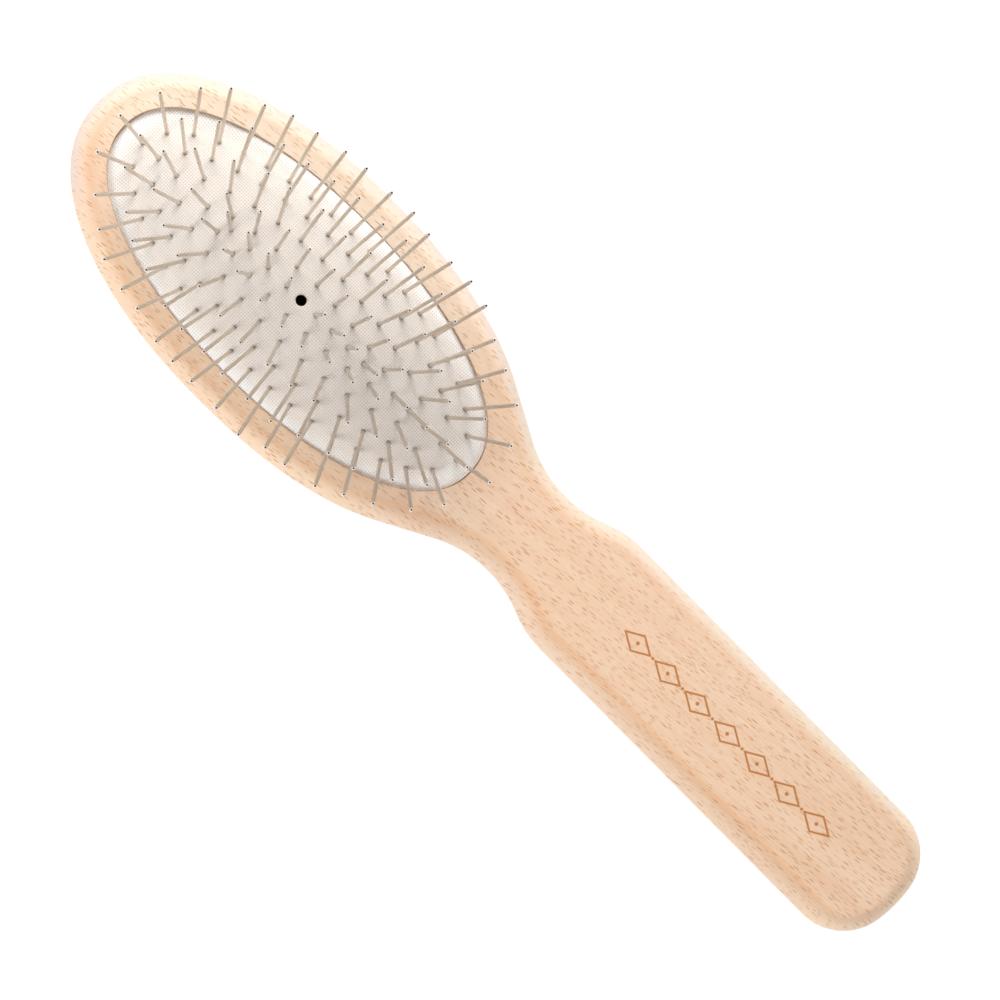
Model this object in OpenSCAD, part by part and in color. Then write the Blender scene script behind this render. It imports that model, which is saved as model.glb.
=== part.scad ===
// Oval pin brush for dogs and cats.
// A one-piece beech body carries a domed rubber cushion faced with woven cloth. The cushion's
// lip sits in a groove round the recess. Each polished steel pin has a flat head under the
// cushion, passes through it and stands square to the dome, give or take a small lean.
// X runs from the head to the handle, Z points up out of the cushion, and the flat back
// lies on Z = 0 with the origin under the middle of the whole brush.

/* [Body outline] */
// Overall length, from the tip of the head to the end of the handle
overall_l = 235; // [215:1:250]
// Length of the oval that the head is cut from
head_l = 116.2; // [113:0.2:122]
// Width of the head
head_w = 57.6; // [54:0.2:64]
// Fullness of the head's oval: 2 is an ellipse, and more is squarer
head_full = 2.2; // [2:0.05:2.4]
// Slope of the straight flanks that run from the head into the neck
flank_deg = 28; // [25:1:32]
// Width of the neck where it is narrowest
neck_w = 22.2; // [20:0.1:25]
// Radius of the hollow on each side of the neck
neck_r = 27; // [22:1:32]
// Radius of the shoulder where the neck runs out into the handle
shoulder_r = 22; // [16:1:30]
// Width of the handle
handle_w = 29.7; // [27:0.1:34]
// Radius of the curve across the handle's end
end_r = 32; // [24:1:45]
// Radius of the handle's two corners
corner_r = 12; // [9:0.5:13]

/* [Body section] */
// Thickness of the wood
body_t = 17; // [16:0.5:20]
// How far the top edge's rounding reaches in
top_round_w = 3.8; // [3:0.1:5]
// How far the top edge's rounding reaches down
top_round_h = 6.5; // [5:0.1:7]
// How far the back edge's rounding reaches in
back_round_w = 6; // [4:0.1:7]
// How far the back edge's rounding reaches up
back_round_h = 9; // [6:0.1:9]

/* [Cushion seat] */
// Distance from the middle of the head's oval to the middle of the cushion, towards the handle
pad_shift = -0.1; // [-2:0.1:1]
// Width of the wooden rim at the two ends of the oval opening for the cushion
rim_end = 7.7; // [6.5:0.1:10]
// Width of the wooden rim at the sides of the opening
rim_side = 7.4; // [6:0.1:9]
// Fullness of the opening's oval: 2 is an ellipse, and more is squarer
pad_full = 2.15; // [2:0.05:2.3]
// Depth of the recess under the cushion, from the top face
recess_d = 7; // [6:0.1:9]
// Depth of the groove that holds the lip, into the recess's wall
groove_d = 1.5; // [1:0.1:2.2]
// Height of the groove, from the recess's floor
groove_h = 2.4; // [2:0.1:3]

/* [Cushion] */
// Distance from the middle of the opening to the middle of the dome and its pins, towards the handle
dome_shift = 0.6; // [0:0.1:1.2]
// Height of the dome above the top face
dome_rise = 7.2; // [6:0.1:8.5]
// Depth of the dome's edge below the top face at the ends
edge_below_end = 2.3; // [1:0.1:3]
// Depth of the dome's edge below the top face at the sides
edge_below_side = 1.4; // [0.6:0.1:2]
// Thickness of the rubber sheet with its cloth face
sheet_t = 2.4; // [1.8:0.1:3]
// Gap between the cushion and the wood
seat_gap = 0.25; // [0.1:0.05:0.4]
// Diameter of the breather hole in the middle of the cushion
vent_d = 2.4; // [1.6:0.1:3]

/* [Pins] */
// Length of a pin above the cushion
pin_l = 20; // [14:0.5:26]
// Diameter of a pin
pin_d = 0.8; // [0.7:0.05:1.2]
// Diameter of the flat head under the cushion
pin_head_d = 2.2; // [1.8:0.1:2.6]
// Thickness of the flat head
pin_head_t = 0.5; // [0.4:0.05:0.8]
// Clearance round a pin in its hole through the cushion
pin_gap = 0.02; // [0.01:0.01:0.05]
// Clearance between a pin's head and the underside of the cushion
head_gap = 0.12; // [0.12:0.01:0.2]
// Largest lean of a pin off square to the sheet, along and across, as the rubber lets it settle
pin_sway_deg = 3; // [0:0.5:3]
// Random draw of those leans for each ring, from the outer one in, and for the middle row
lean_draws = [29562, 50316, 80529, 51529, 69805]; // [0:1:99999]

/* [Pin layout] */
// Number of pins in the outer, second, third and inner ring
ring_pins = [38, 32, 26, 20]; // [16:2:44]
// Distance from the opening's edge to the outer ring at the sides
margin_side = 4.0; // [3:0.1:5]
// Distance from the opening's edge to the outer ring at the ends
margin_end = 4.6; // [3.5:0.1:6]
// Width of each ring as a share of the outer ring's
ring_share_w = [1, 0.79, 0.53, 0.26]; // [0.2:0.01:1]
// Length of each ring as a share of the outer ring's
ring_share_l = [1, 0.9, 0.79, 0.59]; // [0.5:0.01:1]
// Fullness of each ring: 2 is an ellipse, and less is more pointed
ring_full = [2, 1.9, 1.7, 1.7]; // [1.5:0.1:2.2]
// Number of pins in the middle row on each side of the breather hole
row_pins = 4; // [2:1:4]
// Distance from the breather hole to the nearest pin of the row
row_start = 4.2; // [3:0.1:5]
// Distance from the row's last pin to the inner ring, towards the tip
row_stop_tip = 6.7; // [4:0.1:9]
// Distance from the row's last pin to the inner ring, towards the handle
row_stop_neck = 8.8; // [5:0.1:10]

/* [Hidden] */
// Overlap that carries a cut clear through a face
cut = 1;

// Places along the brush
tip_x = -overall_l / 2;
end_x = overall_l / 2;
head_x = tip_x + head_l / 2;
pad_x = head_x + pad_shift;
dome_x = pad_x + dome_shift;
pad_l = head_l - 2 * rim_end;
pad_w = head_w - 2 * rim_side;
floor_z = body_t - recess_d;

// Unit vector at an angle from +X
function dir(a) = [cos(a), sin(a)];

// Curve of an oval whose squareness is set by its fullness
function oval_pt(a, b, p, t) =
    [a * sign(cos(t)) * pow(abs(cos(t)), 2 / p), b * sign(sin(t)) * pow(abs(sin(t)), 2 / p)];
// Outward normal of that oval at the same angle
function oval_normal(a, b, p, t) =
    let (n = [sign(cos(t)) * pow(abs(cos(t)), 2 - 2 / p) / a,
              sign(sin(t)) * pow(abs(sin(t)), 2 - 2 / p) / b])
    n / norm(n);

// The head's oval leaves for the neck where its own slope is the flank's slope
flank_ratio = pow(tan(flank_deg) * head_l / head_w, 1 / (head_full - 1));
flank_y = pow(1 + pow(flank_ratio, head_full), -1 / head_full);
flank_t = acos(pow(flank_ratio * flank_y, head_full / 2));
flank_start = [head_x, 0] + oval_pt(head_l / 2, head_w / 2, head_full, flank_t);
// Centre of the neck's hollow: a circle that the flank's line touches
neck_cy = neck_w / 2 + neck_r;
flank_run = (flank_start[1] + neck_r * cos(flank_deg) - neck_cy) / sin(flank_deg);
neck_cx = flank_start[0] + flank_run * cos(flank_deg) + neck_r * sin(flank_deg);
// Centre of the shoulder: a circle that the hollow and the handle's side both touch
shoulder_deg = acos(1 - (handle_w - neck_w) / 2 / (neck_r + shoulder_r));
shoulder_c = [neck_cx + (neck_r + shoulder_r) * sin(shoulder_deg), handle_w / 2 - shoulder_r];
// Centre of the corner: a circle that the handle's side and its end curve both touch
corner_cy = handle_w / 2 - corner_r;
end_cx = end_x - end_r;
corner_deg = asin(corner_cy / (end_r - corner_r));
corner_cx = end_cx + (end_r - corner_r) * cos(corner_deg);

// Half of the outline, from the tip to the end: each entry is a point and its outward normal
head_steps = 30;
neck_steps = 10;
shoulder_steps = 6;
corner_steps = 8;
end_steps = 3;
half_outline = concat(
    [for (i = [0:head_steps]) let (t = 180 - i * (180 - flank_t) / head_steps)
        [[head_x, 0] + oval_pt(head_l / 2, head_w / 2, head_full, t),
         oval_normal(head_l / 2, head_w / 2, head_full, t)]],
    [for (i = [0:neck_steps])
        let (a = -90 - flank_deg + i * (flank_deg + shoulder_deg) / neck_steps)
        [[neck_cx, neck_cy] + neck_r * dir(a), -dir(a)]],
    [for (i = [1:shoulder_steps]) let (a = 90 + shoulder_deg * (1 - i / shoulder_steps))
        [shoulder_c + shoulder_r * dir(a), dir(a)]],
    [for (i = [0:corner_steps]) let (a = 90 - i * (90 - corner_deg) / corner_steps)
        [[corner_cx, corner_cy] + corner_r * dir(a), dir(a)]],
    [for (i = [1:end_steps]) let (a = corner_deg * (1 - i / end_steps))
        [[end_cx, 0] + end_r * dir(a), dir(a)]]);
half_n = len(half_outline);
// Points in one closed ring of the outline, whose two ends aren't doubled
ring_n = 2 * half_n - 2;

// One closed ring of the body's skin, set in from the outline
function skin_ring(inset, z) = concat(
    [for (e = half_outline) let (p = e[0] - inset * e[1]) [p[0], p[1], z]],
    [for (i = [half_n - 2:-1:1]) let (p = half_outline[i][0] - inset * half_outline[i][1])
        [p[0], -p[1], z]]);

// Section of the edge, from the back face to the top face: inset and height
round_steps = 7;
edge_section = concat(
    [for (i = [0:round_steps]) let (a = 90 * i / round_steps)
        [back_round_w * (1 - sin(a)), back_round_h * (1 - cos(a))]],
    [for (i = [0:round_steps]) let (a = 90 * i / round_steps)
        [top_round_w * (1 - cos(a)), body_t - top_round_h * (1 - sin(a))]]);

// The plain wooden blank: rings of skin joined edge to edge, closed by flat faces
module blank() {
    rows = len(edge_section);
    function at(row, i) = row * ring_n + i % ring_n;
    function mirrored(i) = (ring_n - i) % ring_n;
    polyhedron(
        points = [for (s = edge_section) each skin_ring(s[0], s[1])],
        faces = concat(
            [for (r = [0:rows - 2], i = [0:ring_n - 1]) each
                [[at(r, i), at(r + 1, i), at(r + 1, i + 1)], [at(r, i), at(r + 1, i + 1), at(r, i + 1)]]],
            [for (i = [0:half_n - 2]) [at(0, i), at(0, i + 1), at(0, mirrored(i + 1)), at(0, mirrored(i))]],
            [for (i = [0:half_n - 2]) let (r = rows - 1)
                [at(r, mirrored(i)), at(r, mirrored(i + 1)), at(r, i + 1), at(r, i)]]));
}

// Straight-walled oval of the cushion's opening, grown or shrunk all round
pad_steps = 72;
module pad_oval(grow, z, h) {
    translate([pad_x, 0, z]) linear_extrude(h) polygon([for (i = [0:pad_steps - 1])
        oval_pt(pad_l / 2 + grow, pad_w / 2 + grow, pad_full, 360 * i / pad_steps)]);
}

module brush_body() {
    color([0.93, 0.82, 0.68]) difference() {
        blank();
        pad_oval(0, floor_z, recess_d + cut);
        pad_oval(groove_d, floor_z, groove_h);
    }
}

// Radius of an arc that rises by h over half its chord
function arc_r(half_chord, h) = (half_chord * half_chord + h * h) / (2 * h);

// The dome is a barrel: an arc along the brush, turned about an axis under the head
dome_r_along = arc_r(pad_l / 2, dome_rise + edge_below_end);
dome_r_across = arc_r(pad_w / 2, dome_rise + edge_below_side);
axis_z = body_t + dome_rise - dome_r_across;
barrel_offset = dome_r_along - dome_r_across;
// Radius of the barrel at a distance along the brush from the cushion's middle
function barrel_r(x) = sqrt(pow(dome_r_along, 2) - x * x) - barrel_offset;

module barrel(inset) {
    half_l = pad_l / 2 + dome_shift + cut;
    translate([dome_x, 0, axis_z]) rotate([0, 90, 0])
        rotate_extrude($fn = 180) intersection() {
            translate([-barrel_offset, 0]) circle(r = dome_r_along - inset, $fn = 480);
            translate([0, -half_l]) square([dome_r_across, 2 * half_l]);
        }
}

// Puts a shape on the dome with its Z axis square to the sheet, at a place in plan, then
// leans it off square by the place's own two angles
module on_dome(place) {
    translate([dome_x, 0, axis_z]) rotate([-asin(place[1] / barrel_r(place[0])), 0, 0])
        translate([place[0], 0, barrel_r(place[0])])
        rotate([0, asin(place[0] / dome_r_along), 0]) rotate([place[2], place[3], 0]) children();
}

// Gives each place in a list two small angles of its own, the same ones every time
function settled(places, draw) =
    let (lean = rands(-pin_sway_deg, pin_sway_deg, 2 * len(places), lean_draws[draw]))
    [for (i = [0:len(places) - 1]) [places[i][0], places[i][1], lean[2 * i], lean[2 * i + 1]]];

// Half the length and half the width of a ring
function ring_a(k) = (pad_l / 2 - margin_end) * ring_share_l[k];
function ring_b(k) = (pad_w / 2 - margin_side) * ring_share_w[k];

// Places of one ring's pins: even steps of length round its oval, from a pin on the centre line
function ring_places(k) =
    let (a = ring_a(k), b = ring_b(k), p = ring_full[k],
         pts = [for (t = [0:360]) oval_pt(a, b, p, t)],
         run = [for (i = 0, s = 0; i < len(pts);
                     s = s + (i + 1 < len(pts) ? norm(pts[i + 1] - pts[i]) : 0), i = i + 1) [s, i]],
         whole = run[len(run) - 1][0])
    settled([for (i = [0:ring_pins[k] - 1]) oval_pt(a, b, p, lookup(i * whole / ring_pins[k], run))], k);
// Distances of the middle row's pins from the breather hole, on the side that stops short of the
// inner ring by a given gap
inner = len(ring_pins) - 1;
function row_side(stop) = [for (i = [0:row_pins - 1])
    row_start + i * (ring_a(inner) - stop - row_start) / (row_pins - 1)];
// Places of the middle row, and of the single pin halfway between the two inner rings' ends
row_places = settled(concat([for (x = row_side(row_stop_tip)) [-x, 0]],
    [for (x = row_side(row_stop_neck)) [x, 0]],
    [[(ring_a(inner) + ring_a(inner - 1)) / 2, 0]]), len(ring_pins));

module cushion() {
    color([0.95, 0.94, 0.92]) difference() {
        union() {
            intersection() {
                barrel(0);
                pad_oval(-seat_gap, floor_z + seat_gap, body_t + dome_rise);
            }
            pad_oval(groove_d - seat_gap, floor_z + seat_gap, groove_h - 2 * seat_gap);
        }
        intersection() {
            barrel(sheet_t);
            pad_oval(-seat_gap - sheet_t, floor_z - cut, body_t + dome_rise);
        }
        for (k = [0:len(ring_pins) - 1], place = ring_places(k)) on_dome(place) pin_hole();
        for (place = row_places) on_dome(place) pin_hole();
        translate([dome_x, 0, body_t + dome_rise - sheet_t - cut])
            cylinder(h = sheet_t + 2 * cut, d = vent_d, $fn = 32);
    }
}

// The hole that a pin makes in the sheet
module pin_hole() {
    translate([0, 0, -sheet_t - cut]) cylinder(h = sheet_t + 2 * cut, d = pin_d + 2 * pin_gap, $fn = 24);
}

// One pin: flat head, straight wire and round end, turned about its own axis
module pin() {
    head_z = -sheet_t - head_gap - pin_head_t;
    round_z = pin_l - pin_d / 2;
    rotate_extrude($fn = 36) {
        translate([0, head_z]) square([pin_head_d / 2, pin_head_t]);
        translate([0, head_z]) square([pin_d / 2, round_z - head_z]);
        translate([0, round_z]) intersection() {
            circle(d = pin_d, $fn = 36);
            square(pin_d);
        }
    }
}

module pins(places) {
    color([0.72, 0.72, 0.72]) for (place = places) on_dome(place) pin();
}

module pins_outer_ring() { pins(ring_places(0)); }
module pins_second_ring() { pins(ring_places(1)); }
module pins_third_ring() { pins(ring_places(2)); }
module pins_inner_ring() { pins(ring_places(3)); }
module pins_middle_row() { pins(row_places); }

brush_body();
cushion();
pins_outer_ring();
pins_second_ring();
pins_third_ring();
pins_inner_ring();
pins_middle_row();
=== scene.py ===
# Oval pin brush lying on its flat back, pins up, seen from above.
# Each section below makes one piece of the brush in the order in which it is put together.
import math

import bmesh
import bpy
import numpy as np
from mathutils import Matrix, Vector, noise
from mathutils.geometry import delaunay_2d_cdt


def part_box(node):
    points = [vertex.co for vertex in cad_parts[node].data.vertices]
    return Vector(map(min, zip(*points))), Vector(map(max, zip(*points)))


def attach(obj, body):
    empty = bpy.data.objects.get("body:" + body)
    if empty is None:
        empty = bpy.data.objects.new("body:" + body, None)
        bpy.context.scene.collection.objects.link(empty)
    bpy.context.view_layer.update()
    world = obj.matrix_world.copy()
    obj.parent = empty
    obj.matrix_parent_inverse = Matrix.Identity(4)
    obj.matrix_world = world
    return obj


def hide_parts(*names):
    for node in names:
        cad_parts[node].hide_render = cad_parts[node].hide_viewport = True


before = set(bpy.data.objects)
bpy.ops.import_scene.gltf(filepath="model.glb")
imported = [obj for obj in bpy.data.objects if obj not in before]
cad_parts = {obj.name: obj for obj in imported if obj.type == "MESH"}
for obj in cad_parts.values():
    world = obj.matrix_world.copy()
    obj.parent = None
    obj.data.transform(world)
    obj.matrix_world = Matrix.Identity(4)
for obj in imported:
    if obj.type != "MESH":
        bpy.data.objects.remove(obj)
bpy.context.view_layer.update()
scene = bpy.context.scene
scene.view_settings.view_transform = "Standard"


# Camera
# A long lens nearly straight above the brush, which lies from the upper left to the lower right
# of the picture. The camera leans by about three degrees, as its place in the photograph shows.
camera_distance = 1.2
camera_aim = Vector((-0.00045, 0.00096, 0.010))
camera_roll = 45.18
camera_tilt = 3.09
camera_lean = -2.85
camera_lens = 208.0

camera_data = bpy.data.cameras.new("camera")
camera_data.lens = camera_lens
camera_data.clip_start = 0.05
camera_data.clip_end = 20
camera = bpy.data.objects.new("camera", camera_data)
camera_turn = (Matrix.Rotation(math.radians(camera_lean), 4, "Y")
               @ Matrix.Rotation(math.radians(camera_tilt), 4, "X")
               @ Matrix.Rotation(math.radians(camera_roll), 4, "Z"))
camera_back = camera_turn @ Vector((0, 0, 1))
camera.matrix_world = Matrix.Translation(camera_aim + camera_distance * camera_back) @ camera_turn
scene.collection.objects.link(camera)
scene.camera = camera
picture_up = (camera_turn @ Vector((0, 1, 0))).normalized()
picture_right = (camera_turn @ Vector((1, 0, 0))).normalized()


# Studio
# A white table in a white tent. One large softbox stands beyond the picture's top edge and a
# weaker one low on its left. Shiny parts also show the dark hood round the lens overhead.
def new_node(tree, kind, **inputs):
    """Adds a node, and sets its inputs from values or links them from other nodes' outputs."""
    made = tree.nodes.new(kind)
    for name, value in inputs.items():
        socket = made.inputs[int(name[1:])] if name[0] == "_" else made.inputs[name.replace("_", " ")]
        if isinstance(value, bpy.types.NodeSocket):
            tree.links.new(value, socket)
        else:
            socket.default_value = value
    return made


def math_of(tree, operation, *values, clamp=False):
    """The output of a Math node on numbers or other nodes' outputs."""
    made = new_node(tree, "ShaderNodeMath", **{f"_{i}": v for i, v in enumerate(values)})
    made.operation = operation
    made.use_clamp = clamp
    return made.outputs[0]


def ramp_of(tree, value, low, high, to_low=0.0, to_high=1.0):
    """Maps a value smoothly from one range to another and holds it at the ends."""
    made = new_node(tree, "ShaderNodeMapRange", Value=value, From_Min=low, From_Max=high,
                    To_Min=to_low, To_Max=to_high)
    made.interpolation_type = "SMOOTHSTEP"
    return made.outputs[0]


lamps_aim = Vector((-0.015, 0.04, 0.02))


def softbox(name, towards, elevation, distance, size, power):
    """A square softbox that faces the brush's head from one side of the picture."""
    lamp = bpy.data.lights.new(name, "AREA")
    lamp.size = size
    lamp.energy = power
    lamp_object = bpy.data.objects.new(name, lamp)
    flat = Vector((towards.x, towards.y, 0)).normalized()
    away = flat * math.cos(math.radians(elevation)) + Vector((0, 0, math.sin(math.radians(elevation))))
    lamp_object.location = lamps_aim + away * distance
    lamp_object.rotation_euler = away.to_track_quat("Z", "Y").to_euler()
    lamp_object.visible_glossy = False
    scene.collection.objects.link(lamp_object)


softbox("softbox_top", picture_up, elevation=40, distance=0.5, size=0.4, power=2.55)
softbox("softbox_left", -0.9 * picture_right - 0.45 * picture_up, elevation=28, distance=0.8, size=0.4,
        power=2.3)

tent_side_light = 1.02
tent_top_light = 0.25
tent_top_from = (0.55, 0.85)
hood_from = (0.2, 0.47)
hood_brown = (0.07, 0.04, 0.025, 1)
hood_axis = (camera_back + 0.25 * picture_right - 0.1 * picture_up).normalized()
world = bpy.data.worlds.new("studio")
world.use_nodes = True
scene.world = world
tree = world.node_tree
tree.nodes.clear()
path = new_node(tree, "ShaderNodeLightPath")
direction = new_node(tree, "ShaderNodeTexCoord").outputs["Generated"]
upward = new_node(tree, "ShaderNodeSeparateXYZ", _0=direction).outputs["Z"]
tent = ramp_of(tree, upward, *tent_top_from, tent_side_light, tent_top_light)
hood = new_node(tree, "ShaderNodeVectorMath", _0=direction, _1=hood_axis)
hood.operation = "DOT_PRODUCT"
hood = ramp_of(tree, hood.outputs["Value"], *hood_from)
hood = math_of(tree, "MULTIPLY", hood, path.outputs["Is Glossy Ray"])
seen_white = math_of(tree, "MAXIMUM", path.outputs["Is Camera Ray"], path.outputs["Is Transmission Ray"])
seen_white = math_of(tree, "MAXIMUM", seen_white, path.outputs["Is Glossy Ray"])
not_seen = math_of(tree, "SUBTRACT", 1.0, seen_white)
strength = math_of(tree, "ADD", seen_white, math_of(tree, "MULTIPLY", not_seen, tent))
backdrop = new_node(tree, "ShaderNodeBackground", Color=(1, 1, 1, 1), Strength=strength)
lens_hood = new_node(tree, "ShaderNodeBackground", Color=hood_brown, Strength=1.0)
studio = new_node(tree, "ShaderNodeMixShader", Fac=hood, _1=backdrop.outputs[0], _2=lens_hood.outputs[0])
new_node(tree, "ShaderNodeOutputWorld", Surface=studio.outputs[0])

table_half = 6.0
table_below = 0.00005
table_white = 0.85
table_glow = 0.9
table_shadow = 0.16
table_mesh = bpy.data.meshes.new("table_top")
table_mesh.from_pydata([(-table_half, -table_half, 0), (table_half, -table_half, 0),
                        (table_half, table_half, 0), (-table_half, table_half, 0)], [], [(0, 1, 2, 3)])
table_top = bpy.data.objects.new("table_top", table_mesh)
table_top.location.z = -table_below
scene.collection.objects.link(table_top)
table_finish = bpy.data.materials.new("white_table")
table_finish.use_nodes = True
tree = table_finish.node_tree
tree.nodes.clear()
path = new_node(tree, "ShaderNodeLightPath")
matt = new_node(tree, "ShaderNodeBsdfDiffuse", Color=(table_white,) * 3 + (1,))
shadow_only = new_node(tree, "ShaderNodeBsdfDiffuse", Color=(table_shadow,) * 3 + (1,))
glow = new_node(tree, "ShaderNodeEmission", Color=(1, 1, 1, 1), Strength=table_glow)
seen = new_node(tree, "ShaderNodeAddShader", _0=shadow_only.outputs[0], _1=glow.outputs[0])
seen_white = math_of(tree, "MAXIMUM", path.outputs["Is Camera Ray"], path.outputs["Is Glossy Ray"])
either = new_node(tree, "ShaderNodeMixShader", Fac=seen_white, _1=matt.outputs[0], _2=seen.outputs[0])
new_node(tree, "ShaderNodeOutputMaterial", Surface=either.outputs[0])
table_mesh.materials.append(table_finish)


# Body
# One piece of beech, cut to its outline and routed round both edges. An oval recess with an
# undercut groove for the cushion's lip is routed into the head, and the wood is sanded and waxed.
body_low, body_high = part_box("brush_body")
body_thickness = body_high.z
head_length = 0.1162
head_width = 0.0576
head_fullness = 2.2
flank_slope = math.radians(28)
neck_width = 0.0222
neck_radius = 0.027
shoulder_radius = 0.022
handle_width = 0.0297
end_radius = 0.032
corner_radius = 0.012
top_round = (0.0038, 0.0065)
back_round = (0.006, 0.009)
opening_shift = 0.0001
opening_centre_x = body_low.x + head_length / 2 - opening_shift
rim_at_end = 0.0077
rim_at_side = 0.0074
opening_half = (head_length / 2 - rim_at_end, head_width / 2 - rim_at_side)
opening_fullness = 2.15
recess_depth = 0.007
recess_floor = body_thickness - recess_depth
groove_depth = 0.0015
groove_height = 0.0024
mouth_round = 0.00015
head_steps = 100
flank_steps = 4
neck_steps = 36
shoulder_steps = 18
corner_steps = 24
end_steps = 10
opening_steps = 240


def arc(centre, radius, start, stop, steps, outward=1):
    """Points of an arc in plan with their outward normals; outward is -1 on a hollow."""
    turns = [start + (stop - start) * i / steps for i in range(steps + 1)]
    return [(Vector((centre[0] + radius * math.cos(t), centre[1] + radius * math.sin(t))),
             outward * Vector((math.cos(t), math.sin(t)))) for t in turns]


def oval(half_l, half_w, fullness, turn):
    """Point of an oval at an angle, and the outward normal there; fullness 2 is an ellipse."""
    c, s = math.cos(turn), math.sin(turn)
    reach = [math.copysign(abs(v) ** (2 / fullness), v) for v in (c, s)]
    slope = [math.copysign(abs(v) ** (2 - 2 / fullness), v) for v in (c, s)]
    return (Vector((half_l * reach[0], half_w * reach[1])),
            Vector((slope[0] / half_l, slope[1] / half_w)).normalized())


def body_outline():
    """Closed outline of the body in plan, with outward normals, from the tip round the +Y side."""
    head_x = body_low.x + head_length / 2
    ratio = (math.tan(flank_slope) * head_length / head_width) ** (1 / (head_fullness - 1))
    flank_y = (1 + ratio ** head_fullness) ** (-1 / head_fullness)
    leave = math.acos((ratio * flank_y) ** (head_fullness / 2))
    flank = Vector((head_x, 0)) + oval(head_length / 2, head_width / 2, head_fullness, leave)[0]
    neck_y = neck_width / 2 + neck_radius
    run = (flank.y + neck_radius * math.cos(flank_slope) - neck_y) / math.sin(flank_slope)
    neck_x = flank.x + run * math.cos(flank_slope) + neck_radius * math.sin(flank_slope)
    rise = math.acos(1 - (handle_width - neck_width) / 2 / (neck_radius + shoulder_radius))
    shoulder = (neck_x + (neck_radius + shoulder_radius) * math.sin(rise), handle_width / 2 - shoulder_radius)
    corner_y = handle_width / 2 - corner_radius
    end_x = body_high.x - end_radius
    turn = math.asin(corner_y / (end_radius - corner_radius))
    corner_x = end_x + (end_radius - corner_radius) * math.cos(turn)
    quarter = math.pi / 2
    head = []
    for i in range(head_steps + 1):
        point, normal = oval(head_length / 2, head_width / 2, head_fullness,
                             math.pi + (leave - math.pi) * i / head_steps)
        head.append((Vector((head_x + point.x, point.y)), normal))
    flank_end = Vector((neck_x, neck_y)) + neck_radius * Vector(
        (math.cos(-quarter - flank_slope), math.sin(-quarter - flank_slope)))
    straight = [(head[-1][0].lerp(flank_end, step / flank_steps), head[-1][1])
                for step in range(1, flank_steps)]
    half = (head + straight
            + arc((neck_x, neck_y), neck_radius, -quarter - flank_slope, rise - quarter, neck_steps, -1)
            + arc(shoulder, shoulder_radius, quarter + rise, quarter, shoulder_steps)[1:]
            + arc((corner_x, corner_y), corner_radius, quarter, turn, corner_steps)
            + arc((end_x, 0), end_radius, turn, 0, end_steps)[1:])
    other = [(Vector((p.x, -p.y)), Vector((n.x, -n.y))) for p, n in half[-2:0:-1]]
    return half + other


def opening_ring(grow, z, steps=opening_steps):
    """Points of the recess's oval, grown or shrunk all round, at a height."""
    places = [oval(opening_half[0] + grow, opening_half[1] + grow, opening_fullness,
                   math.pi - 2 * math.pi * i / steps)[0] for i in range(steps)]
    return [(opening_centre_x + place.x, place.y, z) for place in places]


def stitch(shape, ring, following):
    """Joins two closed rings of the same number of points with quads."""
    count = len(ring)
    for i in range(count):
        j = (i + 1) % count
        shape.faces.new((ring[i], ring[j], following[j], following[i]))


def fill_between(shape, *rings):
    """Fills a flat face bounded by one or two closed rings."""
    pairs = [(a, b) for ring in rings for a, b in zip(ring, ring[1:] + ring[:1])]
    edges = [shape.edges.get(pair) or shape.edges.new(pair) for pair in pairs]
    bmesh.ops.triangle_fill(shape, use_beauty=True, edges=edges)


def quarter_steps(count):
    """Angles from 0 to a right angle in equal steps."""
    return [math.pi / 2 * i / count for i in range(count + 1)]


far_from_edge = 0.01
flat_margin = 0.0004
edge_bands = (0.0003, 0.0012)
back_round_steps = 12
top_round_steps = 14
mouth_steps = 4
mouth_stain_turn = 0.4
wall_top_margin = 0.001


def build_body():
    """Mesh of the body. Its attributes say how far a point is from the top face's edge line, and
    how much it belongs to the routed recess."""
    shape = bmesh.new()
    from_edge = shape.verts.layers.float.new("from_edge")
    routed = shape.verts.layers.float.new("routed")
    outline = body_outline()

    def skin(inset, z, distance):
        ring = [shape.verts.new((p.x - inset * n.x, p.y - inset * n.y, z)) for p, n in outline]
        for v in ring:
            v[from_edge] = distance
        return ring

    def recess(grow, z, share):
        ring = [shape.verts.new(p) for p in opening_ring(grow, z)]
        for v in ring:
            v[from_edge] = far_from_edge
            v[routed] = share
        return ring

    rings = [skin(back_round[0] + flat_margin, 0, -far_from_edge)]
    for t in quarter_steps(back_round_steps):
        rings.append(skin(back_round[0] * (1 - math.sin(t)), back_round[1] * (1 - math.cos(t)),
                          -far_from_edge))
    for t in quarter_steps(top_round_steps):
        inset = top_round[0] * (1 - math.cos(t))
        rings.append(skin(inset, body_thickness - top_round[1] * (1 - math.sin(t)), inset - top_round[0]))
    for further in edge_bands:
        rings.append(skin(top_round[0] + further, body_thickness, further))
    for ring, following in zip(rings, rings[1:]):
        stitch(shape, ring, following)
    walls = [recess(mouth_round + flat_margin, body_thickness, 0)]
    for t in quarter_steps(mouth_steps):
        walls.append(recess(mouth_round * (1 - math.sin(t)), body_thickness - mouth_round * (1 - math.cos(t)),
                            min(1.0, t / mouth_stain_turn)))
    groove_top = recess_floor + groove_height
    for grow, z in ((0, body_thickness - wall_top_margin), (0, groove_top), (groove_depth, groove_top),
                    (groove_depth, recess_floor), (-wall_top_margin, recess_floor)):
        walls.append(recess(grow, z, 1))
    for ring, following in zip(walls, walls[1:]):
        stitch(shape, ring, following)
    fill_between(shape, rings[-1], walls[0])
    fill_between(shape, rings[0])
    fill_between(shape, walls[-1])
    bmesh.ops.recalc_face_normals(shape, faces=shape.faces)
    return shape


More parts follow.
